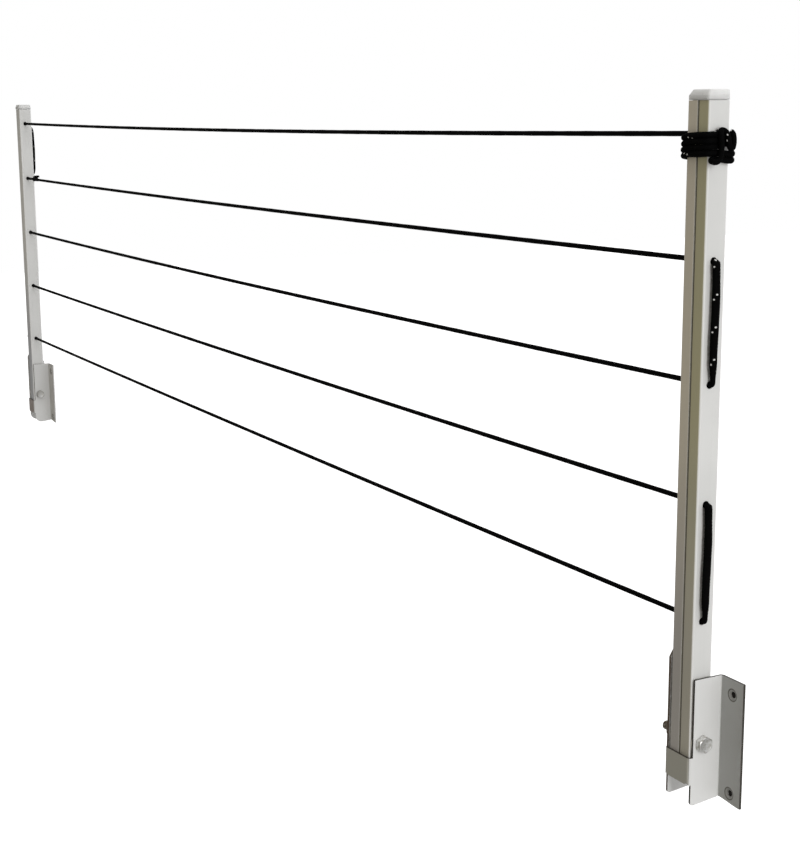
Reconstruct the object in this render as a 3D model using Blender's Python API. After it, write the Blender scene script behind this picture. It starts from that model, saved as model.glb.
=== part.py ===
"""Wall mounted fold-down drying rack: two wall brackets, two hinged arms, one strung cord.

World frame, metres: X along the lines, +Z up, the wall is the plane y = 0 and the
room is on the -Y side. The pivot bolts share one axis, parallel to X, at z = 0.
"""
import math

import bmesh
import bpy
from mathutils import Matrix, Vector

# ---------------------------------------------------------------- driving dimensions
SPAN = 2.000            # outer face of one arm to outer face of the other
PIVOT_Y = -0.021        # pivot axis in front of the wall
GAP = 0.0003            # clearance between pieces that touch

ARM_W = 0.026           # arm profile along X
ARM_REAR = 0.0108       # pivot axis to the arm's rear face
ARM_FRONT_PROUD = 0.0112    # pivot axis to the proud half of the front face
ARM_FRONT_SET = 0.0103      # pivot axis to the set-back half
ARM_WALL = 0.0015
ARM_TOP = 0.533         # profile end above the pivot
ARM_END_R = 0.0164      # lower end, rounded about the pivot
ARM_CORNER = 0.0020
SEAM_W = 0.0007
SEAM_D = 0.0009

CAP_H = 0.0085
CAP_SKIRT = 0.0035      # straight part of the cap under its chamfer
CAP_IN = 0.0034         # chamfer run at the cap's top

LINE_COUNT = 5
LINE_TOP = 0.507        # top line above the pivot
LINE_PITCH = 0.100
LINE_Y = -0.0013        # hole row, measured from the pivot plane
LINE_SAG = (0.0046, 0.0032, 0.0042, 0.0032, 0.0024)     # at mid-span, top line first
SAG_STEPS = 14
CORD_R = 0.00225
HOLE_R = 0.0033

SHEET = 0.0020          # bracket sheet thickness
PLATE_IN = 0.0146       # arm centre to the plates' inner faces
BEND_IN = 0.0012        # inner bend radius
WEB_IN = 0.0115         # pivot axis to the web's inner face
WEB_TOP = -0.0116       # the web's top edge stops the arm when it is level
WEB_BOTTOM = -0.0358
FLANGE_W = 0.0280
BRACKET_TOP = 0.0575
EAR_TOP = 0.0755        # the -X plate stands higher
BRACKET_BOTTOM = -0.0548
BEND_BOTTOM = -0.0516   # bottom edge where plate meets flange
FRONT_EDGE_PLUS = -0.0094   # front edge of the +X plate above the web
FRONT_EDGE_MINUS = -0.0114
LEG_FRONT = -0.0109
TOE_R = {"right": 0.0030, "left": 0.0120}    # lower front corner of the plates
SCREW_R = 0.00275
SCREW_HEAD_R = 0.0052
SCREW_X = 0.0140        # from the plate's outer face
SCREW_Z = (0.0440, -0.0440)

BOLT_R = 0.0040         # M8
BOLT_HOLE_R = 0.0043
HEX_FLATS = 0.0130
HEAD_H = 0.0053
BOLT_LEN = 0.0500
NUT_H = 0.0050          # thin lock nut
WASHER_T = 0.0016
WASHER_R = 0.0080
NYLON_T = 0.0010
NYLON_R = 0.0095
SLEEVE_R = 0.0059
SLEEVE_BORE = 0.0043

WRAP_TURNS = 4
WRAP_PITCH = 0.0047
WRAP_START = -0.0006    # first turn above the top line
WRAP_DIP = 0.0023       # how far the turns drop on the arm's inner face, to pass under the line

HALF = SPAN / 2
ARM_X = {"right": HALF - ARM_W / 2, "left": -(HALF - ARM_W / 2)}
PLATE_OUT = PLATE_IN + SHEET
HOLLOW_FRONT = -ARM_FRONT_SET + ARM_WALL + 0.0008   # the front wall is thicker behind its seam
WALL = -PIVOT_Y         # the wall, measured from the pivot axis along +Y

for old in list(bpy.data.objects):
    bpy.data.objects.remove(old, do_unlink=True)


# ---------------------------------------------------------------- materials
def material(name, colour, rough, metal=0.0):
    mat = bpy.data.materials.new(name)
    mat.use_nodes = True
    shader = mat.node_tree.nodes["Principled BSDF"]
    shader.inputs["Base Color"].default_value = (*colour, 1.0)
    shader.inputs["Roughness"].default_value = rough
    shader.inputs["Metallic"].default_value = metal
    mat.diffuse_color = (*colour, 1.0)
    return mat


POWDER = material("powder_coat", (0.72, 0.72, 0.69), 0.42)
BRACKET = material("bracket_coat", (0.68, 0.68, 0.66), 0.45)
PLASTIC = material("cap_plastic", (0.66, 0.66, 0.65), 0.5)
ZINC = material("zinc_steel", (0.62, 0.62, 0.64), 0.32, 1.0)
NYLON = material("nylon_white", (0.80, 0.79, 0.74), 0.5)
CORD = material("black_cord", (0.015, 0.015, 0.016), 0.75)


# ---------------------------------------------------------------- helpers
def place(name, mesh, mat, parent=None):
    obj = bpy.data.objects.new(name, mesh)
    bpy.context.scene.collection.objects.link(obj)
    if mat:
        mesh.materials.clear()
        mesh.materials.append(mat)
    if parent:
        obj.parent = parent
    return obj


def smooth(obj, degrees=35):
    obj.data.shade_smooth()
    obj.data.set_sharp_from_angle(angle=math.radians(degrees))
    return obj


def mesh_from(bm, name):
    bmesh.ops.recalc_face_normals(bm, faces=bm.faces)
    mesh = bpy.data.meshes.new(name)
    bm.to_mesh(mesh)
    bm.free()
    return mesh


AXES = {
    "X": Matrix(((0, 0, 1), (1, 0, 0), (0, 1, 0))),     # outline is (y, z), extruded along X
    "Y": Matrix(((1, 0, 0), (0, 0, -1), (0, 1, 0))),    # outline is (x, z), extruded along -Y
    "Z": Matrix.Identity(3),                            # outline is (x, y), extruded along Z
}


def prism(name, outline, axis, low, high):
    """A closed outline extruded from low to high along a world axis."""
    if axis == "Y":
        low, high = -high, -low
    turn = AXES[axis].to_4x4()
    bm = bmesh.new()
    face = bm.faces.new([bm.verts.new(turn @ Vector((u, v, low))) for u, v in outline])
    grown = bmesh.ops.extrude_face_region(bm, geom=[face])
    moved = [item for item in grown["geom"] if isinstance(item, bmesh.types.BMVert)]
    bmesh.ops.translate(bm, verts=moved, vec=turn.to_3x3() @ Vector((0, 0, high - low)))
    return mesh_from(bm, name)


def block(name, low, high):
    (x0, y0, z0), (x1, y1, z1) = low, high
    return prism(name, [(x0, y0), (x1, y0), (x1, y1), (x0, y1)], "Z", z0, z1)


def turned(name, profile, axis, centre=(0, 0, 0), sides=32):
    """A closed (radius, height) profile spun about a world axis through centre."""
    bm = bmesh.new()
    rings = []
    for radius, height in profile:
        if radius < 1e-7:
            rings.append([bm.verts.new((0, 0, height))])
            continue
        rings.append([bm.verts.new((radius * math.cos(math.tau * k / sides),
                                    radius * math.sin(math.tau * k / sides), height))
                      for k in range(sides)])
    loops = len(rings)
    closed = profile[0][0] > 1e-7
    for i in range(loops if closed else loops - 1):
        a, b = rings[i], rings[(i + 1) % loops]
        for k in range(sides):
            n = (k + 1) % sides
            if len(a) == 1:
                bm.faces.new((a[0], b[k], b[n]))
            elif len(b) == 1:
                bm.faces.new((a[k], b[0], a[n]))
            else:
                bm.faces.new((a[k], b[k], b[n], a[n]))
    turn = {"X": Matrix.Rotation(math.pi / 2, 4, "Y"), "Y": Matrix.Rotation(-math.pi / 2, 4, "X"),
            "Z": Matrix.Identity(4)}[axis]
    bm.transform(Matrix.Translation(centre) @ turn)
    return mesh_from(bm, name)


def rod(name, radius, axis, low, high, centre=(0, 0, 0), sides=32):
    return turned(name, [(0, low), (radius, low), (radius, high), (0, high)], axis, centre, sides)


def joined(name, meshes):
    """Several separate closed shapes in one mesh, for one cutter."""
    bm = bmesh.new()
    for mesh in meshes:
        bm.from_mesh(mesh)
    return mesh_from(bm, name)


def cut(obj, cutter_mesh, label, parent=None, operation="DIFFERENCE"):
    cutter = place(f"{obj.name}_{label}", cutter_mesh, None, parent)
    cutter.hide_render = True
    cutter.display_type = "WIRE"
    step = obj.modifiers.new(label, "BOOLEAN")
    step.object = cutter
    step.operation = operation
    step.solver = "EXACT"
    return step


def arc(centre, radius, start, end, steps):
    """Points along an arc, angles in degrees."""
    points = []
    for k in range(steps + 1):
        a = math.radians(start + (end - start) * k / steps)
        points.append((centre[0] + radius * math.cos(a), centre[1] + radius * math.sin(a)))
    return points


def round_outline(points, radius, steps=4):
    """A convex, counter-clockwise outline with every corner rounded."""
    out = []
    count = len(points)
    for i, here in enumerate(points):
        here = Vector(here)
        to_prev = (Vector(points[i - 1]) - here).normalized()
        to_next = (Vector(points[(i + 1) % count]) - here).normalized()
        half = to_prev.angle(to_next) / 2
        reach = radius / math.tan(half)
        centre = here + (to_prev + to_next).normalized() * radius / math.sin(half)
        start, end = here + to_prev * reach - centre, here + to_next * reach - centre
        sweep = start.angle_signed(end)
        for k in range(steps + 1):
            turn = Matrix.Rotation(-sweep * k / steps, 2)
            out.append(tuple(centre + turn @ start))
    return out


def ribbon(path, radius, thickness, steps=4):
    """Outline of a bent sheet: a centreline with rounded bends, offset both ways."""
    left, right = [], []
    for i, here in enumerate(path):
        here = Vector(here)
        if i in (0, len(path) - 1):
            other = Vector(path[1] if i == 0 else path[-2])
            along = (other - here if i == 0 else here - other).normalized()
            side = Vector((-along.y, along.x)) * thickness / 2
            left.append(tuple(here + side))
            right.append(tuple(here - side))
            continue
        into = (here - Vector(path[i - 1])).normalized()
        out = (Vector(path[i + 1]) - here).normalized()
        turn = into.x * out.y - into.y * out.x      # +1 turns left, -1 turns right
        centre = here + (out - into) * radius
        for k in range(steps + 1):
            swing = Matrix.Rotation(math.pi / 2 * k / steps * turn, 2)
            outward = swing @ ((here - into * radius) - centre).normalized()
            near = tuple(centre + outward * (radius - thickness / 2))
            far = tuple(centre + outward * (radius + thickness / 2))
            left.append(near if turn > 0 else far)
            right.append(far if turn > 0 else near)
    return left + right[::-1]


def tube(name, points, mat, radius=CORD_R, resolution=2, parent=None):
    """A cord stretch: a poly curve with a round bevel and filled caps."""
    curve = bpy.data.curves.new(name, "CURVE")
    curve.dimensions = "3D"
    curve.bevel_depth = radius
    curve.bevel_resolution = resolution
    curve.use_fill_caps = True
    spline = curve.splines.new("POLY")
    spline.points.add(len(points) - 1)
    for point, co in zip(spline.points, points):
        point.co = (*co, 1.0)
    spline.use_smooth = True
    curve.materials.append(mat)
    obj = bpy.data.objects.new(name, curve)
    bpy.context.scene.collection.objects.link(obj)
    if parent:
        obj.parent = parent
    return obj


def catmull(points, per_span=4):
    """A smooth curve through the given points."""
    pts = [Vector(p) for p in points]
    pts = [2 * pts[0] - pts[1]] + pts + [2 * pts[-1] - pts[-2]]
    out = []
    for i in range(1, len(pts) - 2):
        a, b, c, d = pts[i - 1:i + 3]
        for k in range(per_span):
            t = k / per_span
            out.append(0.5 * (2 * b + (c - a) * t + (2 * a - 5 * b + 4 * c - d) * t * t
                              + (3 * b - a - 3 * c + d) * t ** 3))
    out.append(pts[-2])
    return out


def empty(name, where):
    obj = bpy.data.objects.new(name, None)
    obj.location = where
    bpy.context.scene.collection.objects.link(obj)
    return obj


# Every arm piece hangs from an empty on the joint axis; every bracket piece from its own.
pivots = {side: empty(f"{side}_pivot", (ARM_X[side], PIVOT_Y, 0)) for side in ARM_X}


# ---------------------------------------------------------------- wall bracket
def wall_bracket(side):
    root = pivots[side]
    mid_plate = PLATE_IN + SHEET / 2
    flange_y = WALL - SHEET / 2
    web_y = -(WEB_IN + SHEET / 2)
    end = PLATE_OUT + FLANGE_W
    path = [(-end, flange_y), (-mid_plate, flange_y), (-mid_plate, web_y),
            (mid_plate, web_y), (mid_plate, flange_y), (end, flange_y)]
    sheet = ribbon(path, BEND_IN + SHEET / 2, SHEET)
    obj = place(f"bracket_{side}", prism("bracket", sheet, "Z", BRACKET_BOTTOM, EAR_TOP),
                BRACKET, root)
    far = 0.030
    reach = PLATE_OUT + 0.004
    # window above the web, where the arm lies when it is down
    middle = 0.0040
    window = [(-reach, -far), (reach, -far), (reach, FRONT_EDGE_PLUS), (middle, FRONT_EDGE_PLUS),
              (middle, FRONT_EDGE_MINUS), (-reach, FRONT_EDGE_MINUS)]
    cut(obj, prism("window", window, "Z", WEB_TOP, 0.09), "window", root)
    # below the web only the two plates go on as legs
    cut(obj, block("legs", (-reach, -far, -0.06), (reach, LEG_FRONT, WEB_BOTTOM)), "legs", root)
    for x, tag in ((-PLATE_IN + 0.001, "a"), (PLATE_IN - 0.001, "b")):
        cut(obj, rod("relief", 0.0016, "Y", -0.020, -0.009, (x, 0, WEB_BOTTOM), 16),
            f"relief_{tag}", root)
    # top edges: the +X side is lower, the -X plate has a sloped ear, both flanges are level
    cut(obj, block("top", (0.0, -far, BRACKET_TOP), (0.06, far, 0.09)), "top", root)
    cut(obj, block("flange_top", (-0.06, -far, BRACKET_TOP), (-PLATE_OUT - 0.0012, far, 0.09)),
        "flange_top", root)
    front, rear = FRONT_EDGE_MINUS, WALL - SHEET - BEND_IN
    ear = [(front - 0.008, EAR_TOP - 0.0135), (front, EAR_TOP - 0.0065),
           (front + 0.0040, EAR_TOP - 0.0003), (front + 0.0060, EAR_TOP + 0.0002),
           (rear - 0.012, EAR_TOP + 0.0002), (rear, BRACKET_TOP),
           (0.030, BRACKET_TOP), (0.030, 0.09), (front - 0.008, 0.09)]
    cut(obj, prism("ear", ear, "X", -PLATE_OUT - 0.004, -0.002), "ear", root)
    # bottom edges: the plates rise towards the wall, with a rounded toe
    slope = (BEND_BOTTOM - BRACKET_BOTTOM) / (WALL - LEG_FRONT)
    toe_r = TOE_R[side]
    toe = (LEG_FRONT + toe_r, BRACKET_BOTTOM + toe_r + slope * toe_r)
    under = ([(-0.020, -0.070), (0.030, -0.070), (0.030, BEND_BOTTOM + slope * (0.030 - WALL))]
             + arc(toe, toe_r, -84, -180, 8) + [(-0.020, toe[1])])
    cut(obj, prism("under", under, "X", -PLATE_OUT - 0.0005, PLATE_OUT + 0.0005), "under", root)
    # the flanges' bottom edges are scooped out beside the bend
    for sign, tag in ((1, "plus"), (-1, "minus")):
        scoop = []
        for k in range(9):
            t = k / 8
            x = PLATE_OUT - 0.0015 + t * (FLANGE_W + 0.0015)
            dip = t * t * (3 - 2 * t)
            drop = dip * (BEND_BOTTOM - BRACKET_BOTTOM - 0.0012)
            scoop.append((sign * x, BEND_BOTTOM + 0.0004 - drop))
        scoop += [(sign * (end + 0.006), BRACKET_BOTTOM + 0.0016), (sign * (end + 0.006), -0.070),
                  (sign * (PLATE_OUT - 0.0015), -0.070)]
        cut(obj, prism("scoop", scoop, "Y", WALL - SHEET - 0.0009, far), f"scoop_{tag}", root)
        for k, z in enumerate(SCREW_Z):
            seat = [(0, -0.004), (SCREW_R, -0.004), (SCREW_R, 0.0006), (SCREW_HEAD_R, SHEET + 0.0001),
                    (SCREW_HEAD_R, 0.008), (0, 0.008)]
            hole = turned("screw_hole", seat, "Y", sides=32)
            hole.transform(Matrix.Translation((sign * (PLATE_OUT + SCREW_X), WALL, z))
                           @ Matrix.Rotation(math.pi, 4, "Z"))
            cut(obj, hole, f"screw_{tag}_{k}", root)
    cut(obj, rod("pivot_hole", BOLT_HOLE_R, "X", -0.03, 0.03, sides=32), "pivot_hole", root)
    return obj


# ---------------------------------------------------------------- arm
def arm_outline(mirror):
    """Profile seen from above: rounded corners and one lapped seam down the front face."""
    half, r = ARM_W / 2, ARM_CORNER
    proud, low = -ARM_FRONT_PROUD, -ARM_FRONT_SET
    points = arc((-half + r, proud + r), r, 180, 270, 4)
    points += arc((-SEAM_W / 2 - 0.0007, proud + 0.0007), 0.0007, 270, 360, 3)
    points += [(-SEAM_W / 2, low + SEAM_D), (SEAM_W / 2, low + SEAM_D)]
    points += arc((SEAM_W / 2 + 0.0004, low + 0.0004), 0.0004, 180, 270, 2)
    points += arc((half - r, low + r), r, 270, 360, 4)
    points += arc((half - r, ARM_REAR - r), r, 0, 90, 4)
    points += arc((-half + r, ARM_REAR - r), r, 90, 180, 4)
    if mirror:
        points = [(-x, y) for x, y in reversed(points)]
    return points


def arm(side):
    root = pivots[side]
    obj = place(f"arm_{side}", prism("arm", arm_outline(side == "left"), "Z", -0.022, ARM_TOP),
                POWDER, root)
    half = ARM_W / 2 - ARM_WALL
    front, rear = HOLLOW_FRONT, ARM_REAR - ARM_WALL
    hollow = round_outline([(-half, front), (half, front), (half, rear), (-half, rear)], 0.0008, 2)
    cut(obj, prism("hollow", hollow, "Z", -0.05, ARM_TOP + 0.01), "hollow", root)
    # the lower end is rounded about the pivot, so that it clears the wall as the arm drops
    end = [(0.020, 0.0)] + arc((0, 0), ARM_END_R, 0, -180, 18)
    end += [(-0.020, 0.0), (-0.020, -0.030), (0.020, -0.030)]
    cut(obj, prism("lower_end", end, "X", -0.02, 0.02), "lower_end", root)
    holes = [rod("sleeve_hole", SLEEVE_R + GAP, "X", -0.02, 0.02, sides=32)]
    holes += [rod("line_hole", HOLE_R, "X", -0.02, 0.02, (0, LINE_Y, LINE_TOP - k * LINE_PITCH), 20)
              for k in range(LINE_COUNT)]
    cut(obj, joined("holes", holes), "holes", root)
    return obj


def cap(side):
    """Moulded end cap: a straight skirt, a chamfer to the front and inner sides, and a plug."""
    root = pivots[side]
    inner = -1 if side == "right" else 1
    half, front, rear = ARM_W / 2, -ARM_FRONT_PROUD, ARM_REAR
    low, mid, top = ARM_TOP + GAP, ARM_TOP + GAP + CAP_SKIRT, ARM_TOP + CAP_H
    # height, then how far the inner, outer and front sides have drawn in
    levels = [(low, 0.0, 0.0, 0.0), (mid, 0.0, 0.0, 0.0),
              (top - 0.0007, CAP_IN * 0.85, 0.0002, 0.0016), (top, CAP_IN, 0.0009, 0.0022)]
    bm = bmesh.new()
    rings = []
    for z, cut_inner, cut_outer, cut_front in levels:
        x_in, x_out = inner * (half - cut_inner), -inner * (half - cut_outer)
        x0, x1 = min(x_in, x_out), max(x_in, x_out)
        shape = round_outline([(x0, front + cut_front), (x1, front + cut_front),
                               (x1, rear - cut_outer), (x0, rear - cut_outer)], ARM_CORNER, 4)
        rings.append([bm.verts.new((x, y, z)) for x, y in shape])
    for a, b in zip(rings, rings[1:]):
        for k in range(len(a)):
            n = (k + 1) % len(a)
            bm.faces.new((a[k], a[n], b[n], b[k]))
    bm.faces.new(rings[0][::-1])
    bm.faces.new(rings[-1])
    obj = place(f"arm_cap_{side}", mesh_from(bm, "cap"), PLASTIC, root)
    grip = ARM_W / 2 - ARM_WALL - GAP
    plug = block("plug", (-grip, HOLLOW_FRONT + GAP, ARM_TOP - 0.012),
                 (grip, ARM_REAR - ARM_WALL - GAP, low + 0.001))
    cut(obj, plug, "plug", root, "UNION")
    cut(obj, block("plug_hollow", (-grip + 0.002, -0.0055, ARM_TOP - 0.02),
                   (grip - 0.002, 0.0065, ARM_TOP - 0.001)), "plug_hollow", root)
    return smooth(obj, 30)


# ---------------------------------------------------------------- pivot hardware
def hexagon(flats):
    return [(flats / math.sqrt(3) * math.cos(math.radians(60 * k + 30)),
             flats / math.sqrt(3) * math.sin(math.radians(60 * k + 30))) for k in range(6)]


def chamfered_hex(name, low, high, both):
    """A hexagon prism along X with its corners turned off at one or both ends."""
    bm_mesh = prism(name, hexagon(HEX_FLATS), "X", low, high)
    corner = HEX_FLATS / math.sqrt(3)
    flat = HEX_FLATS / 2 * 0.97
    drop = (corner - flat) * math.tan(math.radians(30))
    profile = [(0, low - 0.001)]
    wide = corner + 0.0005
    if both:
        profile += [(flat, low - 0.001), (flat, low), (wide, low + drop + 0.0003)]
    else:
        profile += [(wide, low - 0.001)]
    profile += [(wide, high - drop - 0.0003), (flat, high), (flat, high + 0.001), (0, high + 0.001)]
    return bm_mesh, turned(name + "_turn", profile, "X", sides=48)


def pivot_hardware(side):
    root = pivots[side]
    half = ARM_W / 2
    seat = PLATE_OUT + GAP
    body, turn = chamfered_hex("head", seat, seat + HEAD_H, False)
    bolt = place(f"pivot_bolt_{side}", body, ZINC, root)
    cut(bolt, turn, "turn", root, "INTERSECT")
    tip = 0.0008
    shank = [(0, seat - BOLT_LEN), (BOLT_R - tip, seat - BOLT_LEN), (BOLT_R, seat - BOLT_LEN + tip),
             (BOLT_R, seat + 0.001), (0, seat + 0.001)]
    cut(bolt, turned("shank", shank, "X", sides=32), "shank", root, "UNION")
    smooth(bolt)
    far = -(PLATE_OUT + GAP)
    ring = [(BOLT_R + 0.0003, 0), (WASHER_R, 0), (WASHER_R, WASHER_T), (BOLT_R + 0.0003, WASHER_T)]
    smooth(place(f"nut_washer_{side}", turned("washer", ring, "X", (far - WASHER_T, 0, 0)), ZINC, root))
    nut_high = far - WASHER_T - GAP
    body, turn = chamfered_hex("nut", nut_high - NUT_H, nut_high, True)
    nut = place(f"lock_nut_{side}", body, ZINC, root)
    cut(nut, turn, "turn", root, "INTERSECT")
    bore = rod("nut_bore", BOLT_R + 0.0003, "X", nut_high - NUT_H - 0.002, nut_high + 0.002)
    cut(nut, bore, "bore", root)
    smooth(nut)
    ring = [(BOLT_R + 0.0003, 0), (NYLON_R, 0), (NYLON_R, NYLON_T), (BOLT_R + 0.0003, NYLON_T)]
    for sign, tag in ((1, "plus"), (-1, "minus")):
        low = half + GAP if sign > 0 else -(half + GAP + NYLON_T)
        smooth(place(f"nylon_washer_{tag}_{side}", turned("nylon", ring, "X", (low, 0, 0)), NYLON, root))
    length = ARM_W - 0.0002
    ring = [(SLEEVE_BORE, 0), (SLEEVE_R, 0), (SLEEVE_R, length), (SLEEVE_BORE, length)]
    smooth(place(f"pivot_sleeve_{side}", turned("sleeve", ring, "X", (-length / 2, 0, 0)), ZINC, root))


for side in ("right", "left"):
    wall_bracket(side)
    smooth(arm(side), 30)
    cap(side)
    pivot_hardware(side)


# ---------------------------------------------------------------- the cord
# One cord runs from a knot on the left arm, back and forth through both arms, and ends
# wound round the right arm. Each straight line, loop, winding and knot is its own piece.
HOLE_Y = PIVOT_Y + LINE_Y
STUB = 0.0006       # straight end of a loop, so that its cap faces the line's


def line_z(number):
    return LINE_TOP - (number - 1) * LINE_PITCH


def sagging_line(number):
    """Straight through both arms, and a shallow parabola between them."""
    z, sag, inner = line_z(number), LINE_SAG[number - 1], HALF - ARM_W
    points = [(-HALF, HOLE_Y, z)]
    for k in range(SAG_STEPS + 1):
        t = 2 * k / SAG_STEPS - 1
        points.append((t * inner, HOLE_Y, z - sag * (1 - t * t)))
    points.append((HALF, HOLE_Y, z))
    tube(f"line_{number}", points, CORD)


for number in range(1, LINE_COUNT + 1):
    sagging_line(number)


def face_loop(name, sign, upper, lower, bow):
    """A loop on an arm's outer face, from one hole down to the next."""
    start = HALF + GAP + STUB
    bend = 0.0030
    points = [(start - STUB, 0.0, upper), (start, 0.0, upper)]
    for k in range(1, 5):
        a = math.pi / 2 * k / 4
        points.append((start + bend * math.sin(a), 0.0, upper - bend * (1 - math.cos(a))))
    runs = 6
    for k in range(1, runs):
        t = k / runs
        z = upper - bend - t * (upper - lower - 2 * bend)
        points.append((start + bend + bow * math.sin(math.pi * t), 0.0004 * math.sin(math.tau * t), z))
    for k in range(4, -1, -1):
        a = math.pi / 2 * k / 4
        points.append((start + bend * math.sin(a), 0.0, lower + bend * (1 - math.cos(a))))
    points.append((start - STUB, 0.0, lower))
    tube(name, [(sign * x, HOLE_Y + y, z) for x, y, z in points], CORD)


face_loop("loop_right_2_3", 1, line_z(2), line_z(3), 0.0016)
face_loop("loop_right_4_5", 1, line_z(4), line_z(5), 0.0016)
face_loop("loop_left_3_4", -1, line_z(3), line_z(4), 0.0012)

# the left arm's top loop goes round the rear of the arm and comes back to the second hole
rear_y = PIVOT_Y + ARM_REAR + CORD_R + 0.0006
side_x = HALF + CORD_R + 0.0010
inner_x = HALF - ARM_W + 0.0040
high, low = line_z(1), line_z(2)
route = [(HALF + GAP + STUB, HOLE_Y, high), (HALF + 0.0022, HOLE_Y + 0.0006, high),
         (side_x + 0.0002, HOLE_Y + 0.0040, high - 0.0010),
         (side_x, PIVOT_Y + ARM_REAR - 0.0020, high - 0.0030),
         (HALF + 0.0008, rear_y - 0.0012, high - 0.0045), (HALF - 0.0040, rear_y + 0.0002, high - 0.0060),
         (inner_x + 0.0060, rear_y, high - 0.0100), (inner_x + 0.0010, rear_y, high - 0.0170),
         (inner_x, rear_y, high - 0.0300), (inner_x, rear_y + 0.0004, (high + low) / 2),
         (inner_x, rear_y, low + 0.0300), (inner_x + 0.0010, rear_y, low + 0.0170),
         (inner_x + 0.0060, rear_y, low + 0.0100), (HALF - 0.0040, rear_y + 0.0002, low + 0.0060),
         (HALF + 0.0008, rear_y - 0.0012, low + 0.0045),
         (side_x, PIVOT_Y + ARM_REAR - 0.0020, low + 0.0030),
         (side_x + 0.0002, HOLE_Y + 0.0040, low + 0.0010), (HALF + 0.0022, HOLE_Y + 0.0006, low),
         (HALF + GAP + STUB, HOLE_Y, low)]
route = ([Vector((HALF + GAP, HOLE_Y, high))] + catmull(route, 2) + [Vector((HALF + GAP, HOLE_Y, low))])
tube("loop_left_1_2", [(-p.x, p.y, p.z) for p in route], CORD)


def winding(name):
    """Turns of cord round the right arm, on a rounded rectangle, stepping down."""
    off = CORD_R + 0.0005
    half, rear, front = ARM_W / 2 + off, ARM_REAR + off, -ARM_FRONT_PROUD - off
    lap = round_outline([(-half, front), (half, front), (half, rear), (-half, rear)],
                        ARM_CORNER + off, 3)[::-1]
    start = next(i for i, (x, y) in enumerate(lap) if x > half - 1e-6 and y < 0)
    lap = lap[start:] + lap[:start]
    spots = [(half, LINE_Y, 0.0)]
    for k in range(WRAP_TURNS * len(lap)):
        spots.append((*lap[k % len(lap)], k / len(lap)))
    spots.append((half, LINE_Y - 0.0020, WRAP_TURNS))
    points = []
    for x, y, turn in spots:
        inner = max(0.0, math.cos(math.tau * (turn - 0.47)))
        z = LINE_TOP + WRAP_START - WRAP_PITCH * turn - WRAP_DIP * inner
        points.append((ARM_X["right"] + x, PIVOT_Y + y, z))
    tube(name, points, CORD)


winding("winding_right")


def knot(name, centre, size, turns=(0, 0, 0)):
    """The outer shape of a pulled-tight knot: a lumpy closed solid."""
    bm = bmesh.new()
    bmesh.ops.create_icosphere(bm, subdivisions=2, radius=1.0)
    for vert in bm.verts:
        n = vert.co.normalized()
        lump = 1 + 0.10 * math.sin(5 * math.atan2(n.y, n.x)) * (1 - n.z * n.z)
        lump += 0.07 * math.cos(8 * n.z)
        vert.co = Vector((n.x * size[0], n.y * size[1], n.z * size[2])) * lump / 2
    mesh = mesh_from(bm, name)
    obj = place(name, mesh, CORD)
    obj.location = centre
    obj.rotation_euler = turns
    return smooth(obj, 60)


outer = HALF + 0.0004
knot("knot_right_top", (outer + 0.0102, PIVOT_Y + 0.0045, LINE_TOP - 0.0030), (0.0088, 0.0150, 0.0125))
knot("knot_right_low", (outer + 0.0102, PIVOT_Y + 0.0010, LINE_TOP - 0.0215), (0.0088, 0.0135, 0.0100))
knot("knot_left_rear", (-(HALF - ARM_W + 0.0010), PIVOT_Y + ARM_REAR + 0.0042, low - 0.0012),
     (0.0075, 0.0062, 0.0104))
knot("knot_left_end", (-(HALF + 0.0072), HOLE_Y, line_z(5)), (0.0105, 0.0115, 0.0115))
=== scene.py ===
"""Looks of the wall mounted fold-down drying rack: coats, plastic, zinc, nylon and braided cord.

Metres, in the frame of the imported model: X along the lines, +Z up, the wall is y = 0.
"""
import math

import bmesh
import bpy
import numpy as np
from mathutils import Matrix, Vector


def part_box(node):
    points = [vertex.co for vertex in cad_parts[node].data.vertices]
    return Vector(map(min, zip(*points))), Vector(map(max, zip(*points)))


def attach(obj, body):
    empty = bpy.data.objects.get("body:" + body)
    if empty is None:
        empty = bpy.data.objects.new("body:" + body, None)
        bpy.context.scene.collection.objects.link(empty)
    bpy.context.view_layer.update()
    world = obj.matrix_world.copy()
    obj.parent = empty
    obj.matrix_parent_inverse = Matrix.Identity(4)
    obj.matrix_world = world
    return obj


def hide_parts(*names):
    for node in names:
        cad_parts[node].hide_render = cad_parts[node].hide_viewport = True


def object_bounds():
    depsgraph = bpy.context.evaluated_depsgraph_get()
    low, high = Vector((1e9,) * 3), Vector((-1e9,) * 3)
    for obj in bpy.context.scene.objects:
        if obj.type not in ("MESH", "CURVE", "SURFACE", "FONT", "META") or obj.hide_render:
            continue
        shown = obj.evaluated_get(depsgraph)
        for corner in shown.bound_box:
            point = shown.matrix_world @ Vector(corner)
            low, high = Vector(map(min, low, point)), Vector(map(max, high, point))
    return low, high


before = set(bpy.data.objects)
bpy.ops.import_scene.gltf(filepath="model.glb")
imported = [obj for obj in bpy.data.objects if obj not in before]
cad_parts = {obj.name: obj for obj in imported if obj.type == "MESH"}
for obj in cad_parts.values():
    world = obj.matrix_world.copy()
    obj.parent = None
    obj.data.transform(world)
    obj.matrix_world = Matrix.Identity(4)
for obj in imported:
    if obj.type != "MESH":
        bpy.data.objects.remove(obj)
CAD_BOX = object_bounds()
scene = bpy.context.scene

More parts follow.
